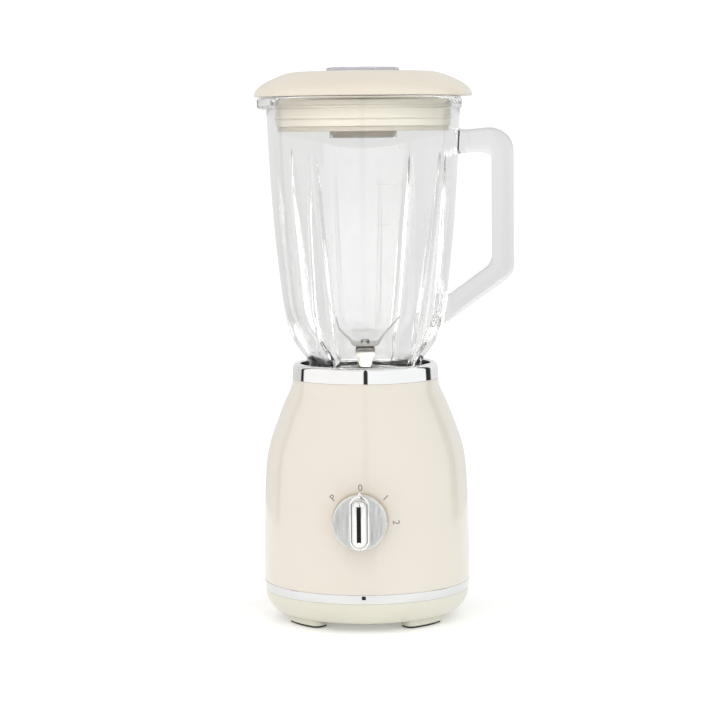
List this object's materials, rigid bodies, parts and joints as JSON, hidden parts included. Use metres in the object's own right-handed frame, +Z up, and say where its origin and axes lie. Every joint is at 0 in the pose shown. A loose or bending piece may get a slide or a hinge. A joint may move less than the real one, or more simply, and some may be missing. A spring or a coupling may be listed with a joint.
{
  "type": "countertop blender",
  "caption": "Countertop blender: ribbed glass jug with handle, spout, blades, domed lid and clear measuring cap, on a flared cream motor base with chrome rings and a rotary knob.",
  "frame": {"origin": "on the surface that the feet stand on, at the vertical axis of the motor, jug and lid", "axes": "+Z up along the drive axis; -Y out of the front, where the knob is; +X towards the jug's handle"},
  "size_m": [0.1873, 0.1724, 0.4],
  "materials": {
    "cream_paint": "gloss",
    "cream_base_plastic": "semi-gloss",
    "cream_lid_plastic": "semi-gloss",
    "cream_seal": "satin",
    "bezel_plastic": "satin",
    "chrome": "mirror",
    "satin_knob": "satin",
    "white_pointer": "gloss",
    "clear_glass": "gloss",
    "clear_plastic": "gloss",
    "stainless": "brushed",
    "black_rubber": "matte",
    "dark_plastic": "satin",
    "black_plastic": "matte",
    "coupling_rubber": "matte",
    "coupling_plastic": "satin",
    "machine_steel": "machined",
    "bracket_steel": "zinc plated",
    "core_steel": "laminated",
    "copper": "enamelled copper",
    "brass": "satin",
    "carbon": "matte"
  },
  "bodies": {
    "base": {"foot_pads": "black_rubber", "base_pan": "cream_base_plastic", "cord_gland": "black_rubber", "trim_ring": "chrome", "body_shell": "cream_paint", "collar_ring": "chrome", "jug_seat": "dark_plastic", "base_screws": "machine_steel", "upper_bearing": "machine_steel", "lower_bearing": "machine_steel", "upper_bracket": "bracket_steel", "lower_bracket": "bracket_steel", "motor_bolts": "machine_steel", "motor_mounts": "black_rubber", "motor_screws": "machine_steel", "stator_core": "core_steel", "field_coils": "copper", "brush_holders": "brass", "carbon_brushes": "carbon", "brush_springs": "machine_steel", "knob_bezel": "bezel_plastic", "switch_body": "black_plastic", "switch_nut": "machine_steel"},
    "rotor": {"motor_shaft": "machine_steel", "armature_core": "core_steel", "armature_windings": "copper", "commutator": "copper", "cooling_fan": "black_plastic", "drive_coupling": "coupling_rubber"},
    "knob": {"switch_shaft": "machine_steel", "knob_disc": "satin_knob", "knob_rim": "chrome", "knob_grip": "chrome", "knob_pointer": "white_pointer"},
    "jug": {"jug_glass": "clear_glass", "jug_base_ring": "dark_plastic", "jug_gasket": "black_rubber", "blade_base": "stainless", "bearing_housing": "stainless", "housing_nut": "stainless", "blade_bushes": "brass", "shaft_seal": "black_rubber"},
    "blades": {"blade_shaft": "stainless", "blade_washer": "stainless", "blade_nut": "stainless", "upper_blade": "stainless", "lower_blade": "stainless", "driven_coupling": "coupling_plastic"},
    "lid": {"lid": "cream_lid_plastic", "lid_seal": "cream_seal"},
    "cap": {"measuring_cap": "clear_plastic"}
  },
  "joints": [
    {"name": "motor_spin", "type": "hinge", "parent": "base", "child": "rotor", "pos_m": [0, 0, 0.1], "axis": [0, 0, 1], "continuous": true},
    {"name": "knob_turn", "type": "hinge", "parent": "base", "child": "knob", "pos_m": [0, -0.08, 0.082], "axis": [0, 1, 0], "range_deg": [-45, 90]},
    {"name": "jug_lift", "type": "slide", "parent": "base", "child": "jug", "axis": [0, 0, 1], "range_m": [0, 0.06]},
    {"name": "blade_spin", "type": "hinge", "parent": "jug", "child": "blades", "pos_m": [0, 0, 0.19], "axis": [0, 0, 1], "continuous": true},
    {"name": "lid_lift", "type": "slide", "parent": "jug", "child": "lid", "axis": [0, 0, 1], "range_m": [0, 0.15]},
    {"name": "cap_lift", "type": "slide", "parent": "lid", "child": "cap", "axis": [0, 0, 1], "range_m": [0, 0.06]}
  ],
  "couplings": [
    {"joint": "blade_spin", "follows": "motor_spin", "ratio": 1}
  ]
}
